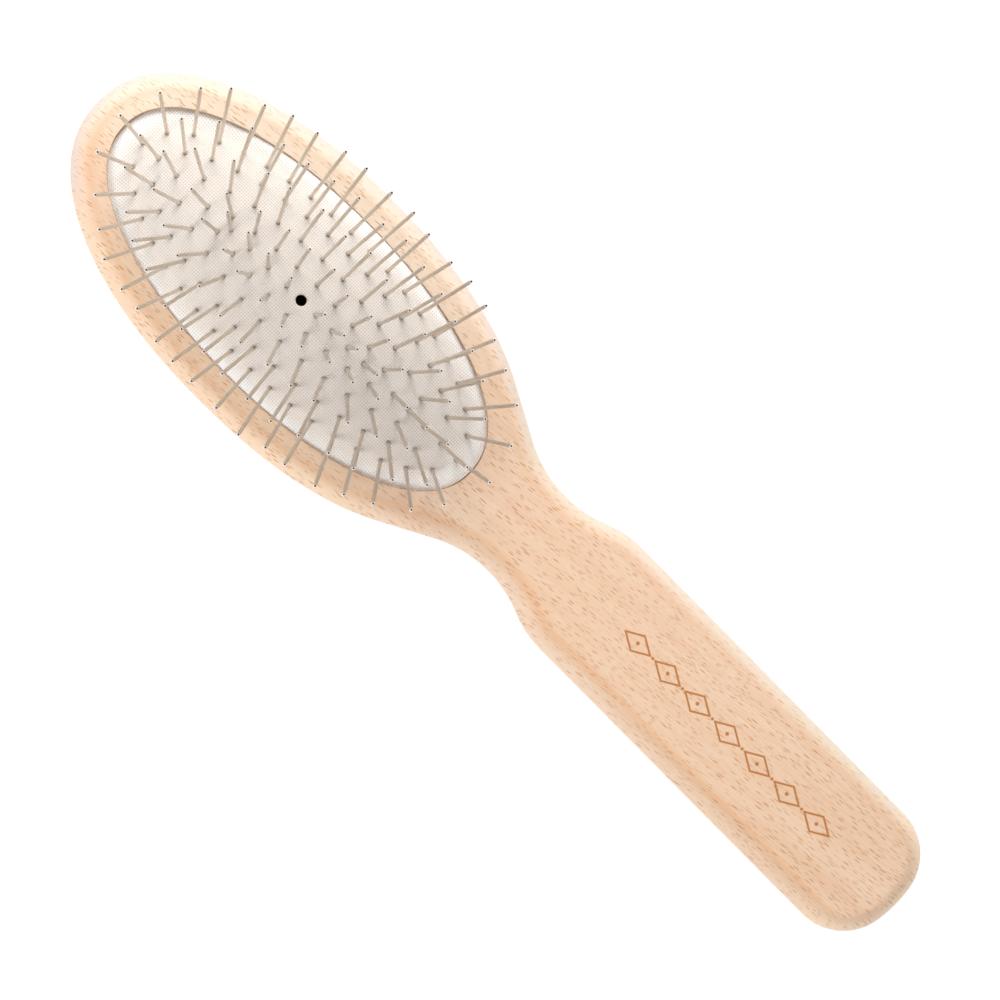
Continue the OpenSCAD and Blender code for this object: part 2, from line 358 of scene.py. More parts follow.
def as_piece(name, shape, finish, smooth_angle=50):
    """Turns a bmesh into an object with one material; edges sharper than the angle stay sharp."""
    mesh = bpy.data.meshes.new(name)
    shape.to_mesh(mesh)
    shape.free()
    mesh.materials.append(finish)
    mesh.shade_smooth()
    mesh.set_sharp_from_angle(angle=math.radians(smooth_angle))
    made = bpy.data.objects.new(name, mesh)
    scene.collection.objects.link(made)
    return made


beech_pale = (0.755, 0.53, 0.375, 1)
beech_light = (0.79, 0.585, 0.43, 1)
beech_fleck = (0.47, 0.215, 0.09, 1)
# This colour marks dark fibres and also a painted shade line along the top face's edge.
beech_edge = (0.70, 0.37, 0.18, 1)
# This colour serves the pale fibres and also painted light on the side towards the top softbox.
beech_white = (0.84, 0.685, 0.535, 1)
beech_warm = (0.88, 0.64, 0.44, 1)
# The next two colours are a painted highlight, paler and greyer, on the upper rounding.
beech_highlight = (0.66, 0.537, 0.46, 1)
beech_highlight_cream = (0.71, 0.597, 0.475, 1)
beech_routed = (0.50, 0.28, 0.14, 1)
burn_brown = (0.46, 0.17, 0.035, 1)
grain_angle = math.radians(-6.5)
grain_rise = math.radians(2)
grain_drift = (0.0, 0.002, 0.001)
grain_drift_scale = 22.0
fleck_cell = (0.0026, 0.0005, 0.003)
fleck_half = (0.00098, 0.000135, 0.0019)
fleck_sizes = (0.7, 1.15)
fleck_strengths = (0.4, 1.0)
flecks_kept = 0.9
flecks_shown = 0.82
flecks_lost_in_highlight = 0.5
fibre_size = (0.02, 0.00022, 0.00022)
band_size = (0.12, 0.005, 0.008)
fibre_streaks = 0.25
handle_streaks = 0.18
handle_from = (0.02, 0.05)
# Painted light: how far the side towards the top softbox is drawn whiter.
painted_light_side = (0.018, 0.036)
painted_light_slope = -0.25
# A warmer, lighter lower side: partly the wood's own tone, partly painted light.
warm_side = (-0.024, -0.014)
# Painted highlight on the upper side's rounding: where the rounding is, which side, and its colour along the
# brush.
rounding_from_edge = (-0.003, -0.0003)
rounding_above = (0.0, 0.009)
highlight_side = (0.004, 0.014)
highlight_cream_from = (-0.03, 0.0)
# Painted light on the rounding at the handle's end.
handle_end_from = (0.1, 0.112)
# Width of a painted shade line along the top face's edge.
edge_line_width = 0.002


def mix_colour(tree, share, first, second):
    """The output of a colour mix from first to second."""
    made = tree.nodes.new("ShaderNodeMix")
    made.data_type = "RGBA"
    sockets = {s.identifier: s for s in made.inputs}
    for name, value in (("Factor_Float", share), ("A_Color", first), ("B_Color", second)):
        if isinstance(value, bpy.types.NodeSocket):
            tree.links.new(value, sockets[name])
        else:
            sockets[name].default_value = value
    return next(s for s in made.outputs if s.identifier == "Result_Color")


def divided(tree, vector, sizes):
    """A vector with each part divided by its own size, so that a pattern stretches to it."""
    made = new_node(tree, "ShaderNodeVectorMath", _0=vector, _1=[1 / s for s in sizes])
    made.operation = "MULTIPLY"
    return made.outputs[0]


chain_links = 7
chain_pitch = 0.0088
chain_start = 0.036
link_half = (0.0036, 0.0021)
burn_line = 0.0003
link_dot = 0.00045


def burned_chain(tree, place):
    """Mask of a plain chain of lozenges and dots, burned into the top of the handle."""
    parts = new_node(tree, "ShaderNodeSeparateXYZ", _0=place).outputs
    along = math_of(tree, "DIVIDE", math_of(tree, "SUBTRACT", parts["X"], chain_start), chain_pitch)
    across = math_of(tree, "ABSOLUTE", parts["Y"])
    from_middle = math_of(tree, "ABSOLUTE", math_of(tree, "SUBTRACT", math_of(tree, "FRACT", along), 0.5))
    beside = math_of(tree, "MULTIPLY", from_middle, chain_pitch)
    to_joint = math_of(tree, "SUBTRACT", chain_pitch / 2, beside)
    outline = math_of(tree, "ADD", math_of(tree, "DIVIDE", beside, link_half[0]),
                      math_of(tree, "DIVIDE", across, link_half[1]))
    steepness = math.hypot(1 / link_half[0], 1 / link_half[1])
    off_line = math_of(tree, "DIVIDE", math_of(tree, "ABSOLUTE", math_of(tree, "SUBTRACT", outline, 1.0)),
                       steepness)
    line = ramp_of(tree, off_line, burn_line * 0.4, burn_line, 1.0, 0.0)

    def dot(offset, radius):
        squares = math_of(tree, "ADD", math_of(tree, "POWER", offset, 2.0),
                          math_of(tree, "POWER", across, 2.0))
        return ramp_of(tree, math_of(tree, "SQRT", squares), radius * 0.6, radius * 1.2, 1.0, 0.0)

    from_centre = math_of(tree, "ABSOLUTE", math_of(tree, "SUBTRACT", along, chain_links / 2))
    joint = math_of(tree, "MULTIPLY", dot(to_joint, link_dot * 0.8),
                    math_of(tree, "LESS_THAN", from_centre, chain_links / 2 - 0.5))
    marks = math_of(tree, "MAXIMUM", math_of(tree, "MAXIMUM", line, dot(beside, link_dot)), joint)
    inside = math_of(tree, "LESS_THAN", from_centre, chain_links / 2)
    on_top = math_of(tree, "GREATER_THAN", parts["Z"], body_thickness - 0.0005)
    return math_of(tree, "MULTIPLY", marks, math_of(tree, "MULTIPLY", inside, on_top))


def beech():
    """Waxed beech: pale, with short brown ray flecks that run a little aslant of the brush."""
    finish = bpy.data.materials.new("waxed_beech")
    finish.use_nodes = True
    tree = finish.node_tree
    tree.nodes.clear()
    place = new_node(tree, "ShaderNodeTexCoord").outputs["Object"]
    turned = new_node(tree, "ShaderNodeMapping", Vector=place, Rotation=(0, grain_rise, grain_angle))
    drift = new_node(tree, "ShaderNodeTexNoise", Vector=place, Scale=grain_drift_scale, Detail=1.0)
    drift = new_node(tree, "ShaderNodeVectorMath", _0=drift.outputs["Color"], _1=grain_drift)
    drift.operation = "MULTIPLY"
    grain = new_node(tree, "ShaderNodeVectorMath", _0=turned.outputs[0], _1=drift.outputs[0])
    grain.operation = "ADD"
    grain = grain.outputs[0]

    in_cells = divided(tree, grain, fleck_cell)
    cells = new_node(tree, "ShaderNodeTexVoronoi", Vector=in_cells, Scale=1.0)
    pick = new_node(tree, "ShaderNodeSeparateColor", Color=cells.outputs["Color"]).outputs
    offset = new_node(tree, "ShaderNodeVectorMath", _0=in_cells, _1=cells.outputs["Position"])
    offset.operation = "SUBTRACT"
    offset = divided(tree, offset.outputs[0], [half / cell for half, cell in zip(fleck_half, fleck_cell)])
    offset = new_node(tree, "ShaderNodeVectorMath", _0=offset)
    offset.operation = "LENGTH"
    size = ramp_of(tree, pick["Blue"], 0.0, 1.0, *fleck_sizes)
    offset = math_of(tree, "DIVIDE", offset.outputs["Value"], size)
    flecks = ramp_of(tree, offset, 0.5, 1.0, 1.0, 0.0)
    flecks = math_of(tree, "MULTIPLY", flecks, math_of(tree, "LESS_THAN", pick["Red"], flecks_kept))
    flecks = math_of(tree, "MULTIPLY", flecks, ramp_of(tree, pick["Green"], 0.0, 1.0, *fleck_strengths))

    fibres = new_node(tree, "ShaderNodeTexNoise", Vector=divided(tree, grain, fibre_size), Scale=1.0,
                      Detail=2.0).outputs["Fac"]
    bands = new_node(tree, "ShaderNodeTexNoise", Vector=divided(tree, grain, band_size), Scale=1.0,
                     Detail=2.0).outputs["Fac"]
    wood = mix_colour(tree, ramp_of(tree, bands, 0.35, 0.65), beech_pale, beech_light)
    parts = new_node(tree, "ShaderNodeSeparateXYZ", _0=place).outputs
    streaky = math_of(tree, "MULTIPLY_ADD", ramp_of(tree, parts["X"], *handle_from), handle_streaks,
                      fibre_streaks)
    dark_fibres = math_of(tree, "MULTIPLY", ramp_of(tree, fibres, 0.45, 0.75), streaky)
    wood = mix_colour(tree, dark_fibres, wood, beech_edge)
    pale_fibres = math_of(tree, "MULTIPLY", ramp_of(tree, fibres, 0.25, 0.5, 1.0, 0.0), streaky)
    wood = mix_colour(tree, pale_fibres, wood, beech_white)
    across = parts["Y"]
    # Painted light: the side towards the top softbox is mixed towards a whiter wood.
    aslant = math_of(tree, "MULTIPLY_ADD", parts["X"], painted_light_slope, across)
    wood = mix_colour(tree, ramp_of(tree, aslant, *painted_light_side, 0.0, 0.8), wood, beech_white)
    # Warmer, lighter wood along the lower side: partly the wood's own tone, partly painted light.
    wood = mix_colour(tree, ramp_of(tree, across, *warm_side, 0.5, 0.0), wood, beech_warm)

    from_edge = new_node(tree, "ShaderNodeAttribute")
    from_edge.attribute_name = "from_edge"
    rounding = ramp_of(tree, from_edge.outputs["Fac"], *rounding_from_edge, 1.0, 0.0)
    rounding = math_of(tree, "MULTIPLY", rounding, ramp_of(tree, parts["Z"], *rounding_above))
    # Painted highlight: the rounding on the side towards the top softbox turns a paler, greyer wood.
    far_side = ramp_of(tree, math_of(tree, "MAXIMUM", across, aslant), *highlight_side, 0.0, 0.8)
    rounding_highlight = math_of(tree, "MULTIPLY", rounding, far_side)
    highlight_wood = mix_colour(tree, ramp_of(tree, parts["X"], *highlight_cream_from), beech_highlight, beech_highlight_cream)
    wood = mix_colour(tree, rounding_highlight, wood, highlight_wood)
    # Painted light: the rounding at the handle's end is lifted with the warm wood colour.
    at_end = ramp_of(tree, parts["X"], *handle_end_from)
    end_rounding = math_of(tree, "MULTIPLY", math_of(tree, "MULTIPLY", rounding, at_end), 0.9)
    wood = mix_colour(tree, end_rounding, wood, beech_warm)
    # Painted shade: a darker orange line along the top face's edge, strongest on the lower side and faint at
    # the handle's end.
    near = ramp_of(tree, math_of(tree, "ABSOLUTE", from_edge.outputs["Fac"]), 0.0, edge_line_width, 1.0, 0.0)
    near = math_of(tree, "MULTIPLY", near, ramp_of(tree, across, -0.01, 0.01, 1.0, 0.4))
    near = math_of(tree, "MULTIPLY", near, ramp_of(tree, parts["X"], -0.02, 0.02, 0.3, 0.5))
    near = math_of(tree, "MULTIPLY", near, math_of(tree, "MULTIPLY_ADD", at_end, -0.7, 1.0))
    wood = mix_colour(tree, near, wood, beech_edge)
    # Flecks fade under the painted highlight.
    flecks_seen = math_of(tree, "MULTIPLY_ADD", rounding_highlight, -flecks_lost_in_highlight, flecks_shown)
    wood = mix_colour(tree, math_of(tree, "MULTIPLY", flecks, flecks_seen), wood, beech_fleck)
    routed = new_node(tree, "ShaderNodeAttribute")
    routed.attribute_name = "routed"
    wood = mix_colour(tree, math_of(tree, "MULTIPLY", routed.outputs["Fac"], 0.8), wood, beech_routed)
    burned = burned_chain(tree, place)
    wood = mix_colour(tree, math_of(tree, "MULTIPLY", burned, 0.95), wood, burn_brown)

    height = math_of(tree, "SUBTRACT", math_of(tree, "MULTIPLY", fibres, 0.4), flecks)
    height = math_of(tree, "SUBTRACT", height, math_of(tree, "MULTIPLY", burned, 3.0))
    bump = new_node(tree, "ShaderNodeBump", Strength=0.35, Distance=0.00002, Height=height)
    gloss = ramp_of(tree, fibres, 0.3, 0.7, 0.42, 0.52)
    surface = new_node(tree, "ShaderNodeBsdfPrincipled", Base_Color=wood, Roughness=gloss,
                       Normal=bump.outputs[0])
    new_node(tree, "ShaderNodeOutputMaterial", Surface=surface.outputs[0])
    return finish


brush_wood = as_piece("beech_body", build_body(), beech())
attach(brush_wood, "root")
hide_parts("brush_body")


# Cushion
# A sheet of rubber with plain-woven cloth bonded to its face, domed over an air space. Its edge
# rolls down into the recess and ends in a lip. It has a breather hole and a hole for each pin.
pin_nodes = ("pins_outer_ring", "pins_second_ring", "pins_third_ring", "pins_inner_ring", "pins_middle_row")
pin_radius = 0.0004
pin_above = 0.020
seat_gap = 0.00015
sheet_thickness = 0.0024
dome_shift = 0.0006
dome_centre_x = opening_centre_x + dome_shift
dome_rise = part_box("cushion")[1].z - body_thickness
edge_below_end = 0.0023
edge_below_side = 0.0014
edge_roll = 0.0003
flank_width = (0.0042, 0.006)
flank_top = 0.0006
flank_swell = 0.00078
end_swell = (0.0009, 0.0008)
shoulder_swell = (0.00095, 0.0004)
breather_radius = 0.0012
same_point = 1e-6
head_face = 2e-5


def arc_radius(half_chord, rise):
    return (half_chord ** 2 + rise ** 2) / (2 * rise)


radius_along = arc_radius(opening_half[0], dome_rise + edge_below_end)
radius_across = arc_radius(opening_half[1], dome_rise + edge_below_side)
dome_axis_z = body_thickness + dome_rise - radius_across
barrel_offset = radius_along - radius_across


def on_dome(u, v, lift=0.0):
    """Point of the dome at distances along and across it, and the outward normal there."""
    lean = u / radius_along
    radius = radius_along * math.cos(lean) - barrel_offset
    side = v / radius
    normal = Vector((math.sin(lean), math.cos(lean) * math.sin(side), math.cos(lean) * math.cos(side)))
    point = Vector((dome_centre_x + radius_along * math.sin(lean), radius * math.sin(side),
                    dome_axis_z + radius * math.cos(side)))
    return point + lift * normal, normal


def off_dome(x, y):
    """Distances along and across the dome of the place above a point in plan."""
    lean = math.asin((x - dome_centre_x) / radius_along)
    radius = radius_along * math.cos(lean) - barrel_offset
    return radius_along * lean, radius * math.asin(y / radius)


def share_of_opening(x, y):
    """0 in the middle of the opening and 1 all round its edge."""
    return ((abs(x - opening_centre_x) / opening_half[0]) ** opening_fullness
            + (abs(y) / opening_half[1]) ** opening_fullness) ** (1 / opening_fullness)


def flank_at(x, y):
    """How far a place is out on the full flank outside the pins, 0 inside and 1 at the edge, and
    how high the taut sheet swells above the dome there, most on the oval's shoulders."""
    share = max(0.01, share_of_opening(x, y))
    to_edge = math.hypot(x - opening_centre_x, y) * (1 / share - 1)
    at_end = ((x - opening_centre_x) / opening_half[0]) ** 2
    half = 0 if x < opening_centre_x else 1
    width = flank_width[0] + (flank_width[1] - flank_width[0]) * at_end
    swell = (flank_swell + (end_swell[half] - flank_swell) * at_end
             + shoulder_swell[half] * 4 * at_end * (1 - at_end))
    reach = min(1.0, max(0.0, (width - to_edge) / (width - flank_top)))
    reach = reach * reach * (3 - 2 * reach)
    return reach, reach * swell


def pin_axes(node):
    """Tip and upward direction of each pin in a CAD node, from its separate solids."""
    shape = bmesh.new()
    shape.from_mesh(node.data)
    bmesh.ops.remove_doubles(shape, verts=shape.verts, dist=same_point)
    waiting = set(shape.verts)
    found = []
    while waiting:
        island, edge = [], [waiting.pop()]
        while edge:
            v = edge.pop()
            island.append(v.co.copy())
            for link in v.link_edges:
                other = link.other_vert(v)
                if other in waiting:
                    waiting.remove(other)
                    edge.append(other)
        points = np.array(island)
        middle = points.mean(0)
        axis = np.linalg.svd(points - middle)[2][0]
        axis = axis if axis[2] > 0 else -axis
        reach = (points - middle) @ axis
        head = points[reach < reach.min() + head_face].mean(0)
        tip = points[reach.argmax()]
        found.append((Vector(tip), Vector(tip - head).normalized()))
    shape.free()
    return sorted(found, key=lambda pin: (round(pin[0].x, 5), round(pin[0].y, 5)))


pins = {name: pin_axes(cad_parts[name]) for name in pin_nodes}


def crossing(tip, axis):
    """Distances along and across the dome of the place where a pin comes out of the sheet."""
    place = tip - pin_above * axis
    return off_dome(place.x, place.y)


hole_radius = pin_radius + 0.00002
dimple_depth = 0.0001
dimple_reach = 0.0003
dimple_rings = (hole_radius, 0.00051, 0.00065, 0.0009, 0.0014)
breather_rings = (breather_radius, 0.00135, 0.0016, 0.002)
breather_sink = 0.0003
breather_sink_reach = 0.0002
breather_shade = 0.35
breather_shade_reach = 0.0004
unevenness = 0.00008
unevenness_scale = 130
mesh_step = 0.0009
mesh_reach = 0.06
rim_points = 240
hole_points = 16
breather_points = 32


def sheet_pattern(places):
    """Flat triangulation of the sheet in distances along and across the dome: its points, each
    with the hole it belongs to and its distance from that hole's middle, and its triangles."""
    inset = seat_gap + edge_roll
    rim = [off_dome(x, y) for x, y, _ in opening_ring(-inset, 0, rim_points)]
    points = [(u, v, "rim", i) for i, (u, v) in enumerate(rim)]
    for hole, (u, v) in enumerate(places):
        for radius in dimple_rings:
            for i in range(hole_points):
                t = 2 * math.pi * i / hole_points
                points.append((u + radius * math.cos(t), v + radius * math.sin(t), hole, radius))
    for radius in breather_rings:
        for i in range(breather_points):
            t = 2 * math.pi * i / breather_points
            points.append((radius * math.cos(t), radius * math.sin(t), "breather", radius))
    centres = np.array(places + [(0.0, 0.0)])
    clear = np.array([dimple_rings[-1]] * len(places) + [breather_rings[-1]]) + 0.5 * mesh_step
    rows = int(mesh_reach / mesh_step)
    for row in range(-rows, rows + 1):
        for column in range(-rows, rows + 1):
            u, v = (column + 0.5 * (row % 2)) * mesh_step, row * mesh_step * math.sqrt(3) / 2
            if np.any(np.hypot(*(centres - (u, v)).T) < clear):
                continue
            x, y = on_dome(u, v)[0][:2]
            if share_of_opening(x, y) < 1 - (inset + 0.6 * mesh_step) / opening_half[1]:
                points.append((u, v, "cloth", 0.0))
    flat = [Vector((p[0] * 1000, p[1] * 1000)) for p in points]
    edges = [(i, (i + 1) % rim_points) for i in range(rim_points)]
    triangles = delaunay_2d_cdt(flat, edges, [], 1, 1e-7)[2]

    def in_hole(corners):
        holes = {points[i][2] for i in corners}
        radii = {points[i][3] for i in corners}
        return len(holes) == 1 and radii in ({hole_radius}, {breather_radius})

    return points, [t for t in triangles if not in_hole(t)]


def build_cushion():
    """Closed shell of the cushion. The two faces of its sheet share one pattern, joined through
    every hole and round the rolled edge, the skirt and the lip."""
    crossings = [(crossing(*pin), pin[1]) for name in pin_nodes for pin in pins[name]]
    points, triangles = sheet_pattern([place for place, _ in crossings])
    shape = bmesh.new()
    # Marks painted shade on the cloth round each pin hole and round the breather hole.
    near_pin = shape.verts.layers.float.new("near_pin")
    # Marks the flank and the rolled edge for painted light: a whiter cloth there.
    flank_light = shape.verts.layers.float.new("flank_light")
    # Marks the rolled edge for painted shade, brown with warm light from the wood wall.
    rim_shade = shape.verts.layers.float.new("rim_shade")
    cloth_map = shape.loops.layers.uv.new("cloth")
    flat_place = {}
    upper, lower = [], []
    for u, v, kind, radius in points:
        sink, shade = 0.0, 0.0
        if isinstance(kind, int):
            sink = dimple_depth * math.exp(-(radius - hole_radius) / dimple_reach)
            shade = max(0.0, 1 - (radius - hole_radius) / dimple_reach)
        elif kind == "breather":
            sink = breather_sink * math.exp(-(radius - breather_radius) / breather_sink_reach)
            shade = max(0.0, breather_shade * (1 - (radius - breather_radius) / breather_shade_reach))
        bumps = unevenness * noise.noise(Vector((u, v, 0)) * unevenness_scale) if kind != "rim" else 0.0
        flank, flank_rise = flank_at(*on_dome(u, v)[0][:2])
        top, normal = on_dome(u, v, bumps + flank_rise - sink)
        bottom = top - (sheet_thickness - sink) * (
            crossings[kind][1] if isinstance(kind, int) and radius == hole_radius else normal)
        if kind == "breather" and radius == breather_radius:
            bottom = top - Vector((0, 0, sheet_thickness - sink))
        for place, face in ((top, upper), (bottom, lower)):
            made = shape.verts.new(place)
            made[near_pin] = shade
            made[flank_light] = flank
            flat_place[made] = (u, v)
            face.append(made)
    for a, b, c in triangles:
        shape.faces.new((upper[a], upper[b], upper[c]))
        shape.faces.new((lower[c], lower[b], lower[a]))
    count = len(crossings) * len(dimple_rings) * hole_points
    starts = [(rim_points + i * len(dimple_rings) * hole_points, hole_points) for i in range(len(crossings))]
    for start, size in starts + [(rim_points + count, breather_points)]:
        stitch(shape, upper[start:start + size], lower[start:start + size])

    lip_low = recess_floor + seat_gap
    lip_high = lip_low + groove_height - 2 * seat_gap
    rings = []

    def wall(grow, height_at, out, rim_shade_share=1.0):
        """Adds a ring below the rim; out is how far past the rim it lies on the flat cloth."""
        ring = []
        for (x, y, _), inner in zip(opening_ring(grow, 0, rim_points), upper):
            made = shape.verts.new((x, y, height_at(x, y)))
            made[flank_light] = 1.0
            # How much painted shade the ring takes.
            made[rim_shade] = rim_shade_share
            u, v = flat_place[inner]
            away = Vector((x - inner.co.x, y - inner.co.y)).normalized()
            flat_place[made] = (u + out * away.x, v + out * away.y)
            ring.append(made)
        rings.append(ring)

    def dome_z(x, y):
        return on_dome(*off_dome(x, y), flank_at(x, y)[1])[0].z

    for share in (0.2, 0.4, 0.6, 0.8, 1.0):
        inward = edge_roll * (1 - share) ** 2

        def rolled(x, y, share=share):
            return dome_z(x, y) - edge_roll * share ** 2
        wall(-seat_gap - inward, rolled, 1.5 * edge_roll * share, share)
    wall(-seat_gap, lambda x, y: lip_high, 0.006)
    wall(groove_depth - seat_gap, lambda x, y: lip_high, 0.0075)
    wall(groove_depth - seat_gap, lambda x, y: lip_low, 0.009)
    wall(-seat_gap - sheet_thickness, lambda x, y: lip_low, 0.012)
    ring_before = upper[:rim_points]
    for ring in rings + [lower[:rim_points]]:
        stitch(shape, ring_before, ring)
        ring_before = ring
    bmesh.ops.recalc_face_normals(shape, faces=shape.faces)
    for face in shape.faces:
        for loop in face.loops:
            loop[cloth_map].uv = flat_place[loop.vert]
    return shape


cloth_white = (0.86, 0.78, 0.71, 1)
# A whiter cloth, painted light on the flank and the rolled edge.
cloth_flank_light = (0.96, 0.94, 0.915, 1)
cloth_shaded = (0.52, 0.475, 0.43, 1)
# Painted shade round each pin's foot and round the breather hole.
cloth_hole_shade = (0.34, 0.28, 0.22, 1)
# Brown painted shade on the rolled edge, with warm light from the wood wall.
cloth_rim_shade = (0.52, 0.33, 0.20, 1)
thread_pitch = 0.00053
thread_crossing = 1.5
pits_from = (0.08, 0.5)
slub_size = (0.006, 0.0006, 1.0)
slubs_from = (0.35, 0.75)
slubs_shown = 0.12
pits_shown = 0.85
pits_lost_on_flank = 0.3
rim_shade_shown = 0.85
hole_shade_shown = 0.35
weave_relief = 0.00008


def cloth_on_rubber():
    """Off-white plain weave: threads go over and under each other, with dark pits between."""
    finish = bpy.data.materials.new("cushion_cloth")
    finish.use_nodes = True
    tree = finish.node_tree
    tree.nodes.clear()
    cloth_place = new_node(tree, "ShaderNodeUVMap")
    cloth_place.uv_map = "cloth"
    threads = new_node(tree, "ShaderNodeSeparateXYZ",
                       _0=divided(tree, cloth_place.outputs[0], (thread_pitch,) * 3)).outputs
    waves = [math_of(tree, "SINE", math_of(tree, "MULTIPLY", threads[axis], math.pi)) for axis in ("X", "Y")]
    along, across = [math_of(tree, "ABSOLUTE", wave) for wave in waves]
    over = math_of(tree, "MULTIPLY_ADD", math_of(tree, "MULTIPLY", *waves), thread_crossing, 0.5, clamp=True)
    under = math_of(tree, "SUBTRACT", 1.0, over)
    height = math_of(tree, "MAXIMUM", math_of(tree, "MULTIPLY", along, over),
                     math_of(tree, "MULTIPLY", across, under))
    pits = math_of(tree, "MULTIPLY", math_of(tree, "SUBTRACT", 1.0, along),
                   math_of(tree, "SUBTRACT", 1.0, across))
    pits = ramp_of(tree, pits, *pits_from)
    slub = new_node(tree, "ShaderNodeTexNoise", Scale=1.0, Detail=2.0,
                    Vector=divided(tree, cloth_place.outputs[0], slub_size)).outputs["Fac"]
    flank_light = new_node(tree, "ShaderNodeAttribute")
    flank_light.attribute_name = "flank_light"
    # Painted light: the flank and rolled edge are drawn in a whiter cloth, and the weave's pits fade there.
    cloth = mix_colour(tree, flank_light.outputs["Fac"], cloth_white, cloth_flank_light)
    cloth = mix_colour(tree, ramp_of(tree, slub, *slubs_from, 0.0, slubs_shown), cloth, cloth_shaded)
    open_weave = math_of(tree, "MULTIPLY_ADD", flank_light.outputs["Fac"], -pits_lost_on_flank, pits_shown)
    cloth = mix_colour(tree, math_of(tree, "MULTIPLY", pits, open_weave), cloth, cloth_shaded)
    # Painted shade: the rolled edge is drawn brown, as shade lit warmly by the wood wall.
    rim_shade = new_node(tree, "ShaderNodeAttribute")
    rim_shade.attribute_name = "rim_shade"
    cloth = mix_colour(tree, math_of(tree, "MULTIPLY", rim_shade.outputs["Fac"], rim_shade_shown), cloth, cloth_rim_shade)
    # Painted shade darkens the cloth round each pin's foot and round the breather hole.
    near_pin = new_node(tree, "ShaderNodeAttribute")
    near_pin.attribute_name = "near_pin"
    hole_shade = math_of(tree, "MULTIPLY", near_pin.outputs["Fac"], hole_shade_shown)
    cloth = mix_colour(tree, hole_shade, cloth, cloth_hole_shade)
    bump = new_node(tree, "ShaderNodeBump", Strength=0.6, Distance=weave_relief, Height=height)
    surface = new_node(tree, "ShaderNodeBsdfPrincipled", Base_Color=cloth, Normal=bump.outputs[0])
    surface.inputs["Roughness"].default_value = 0.85
    surface.inputs["Specular IOR Level"].default_value = 0.25
    new_node(tree, "ShaderNodeOutputMaterial", Surface=surface.outputs[0])
    return finish


brush_cushion = as_piece("cloth_cushion", build_cushion(), cloth_on_rubber(), 60)
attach(brush_cushion, "root")
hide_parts("cushion")


# Pins
# Round steel wires with a flat upset head under the sheet and a rounded, polished end. Each one
# stands where its CAD solid stands: its tip and its axis are read from that solid.
pin_head_radius = 0.0011
pin_head_thickness = 0.0005
head_gap = 0.00012
pin_length = pin_above + sheet_thickness + head_gap + pin_head_thickness
pin_sides = 12
round_end_turns = (25, 50, 70, 84)
shank_end = 0.0003


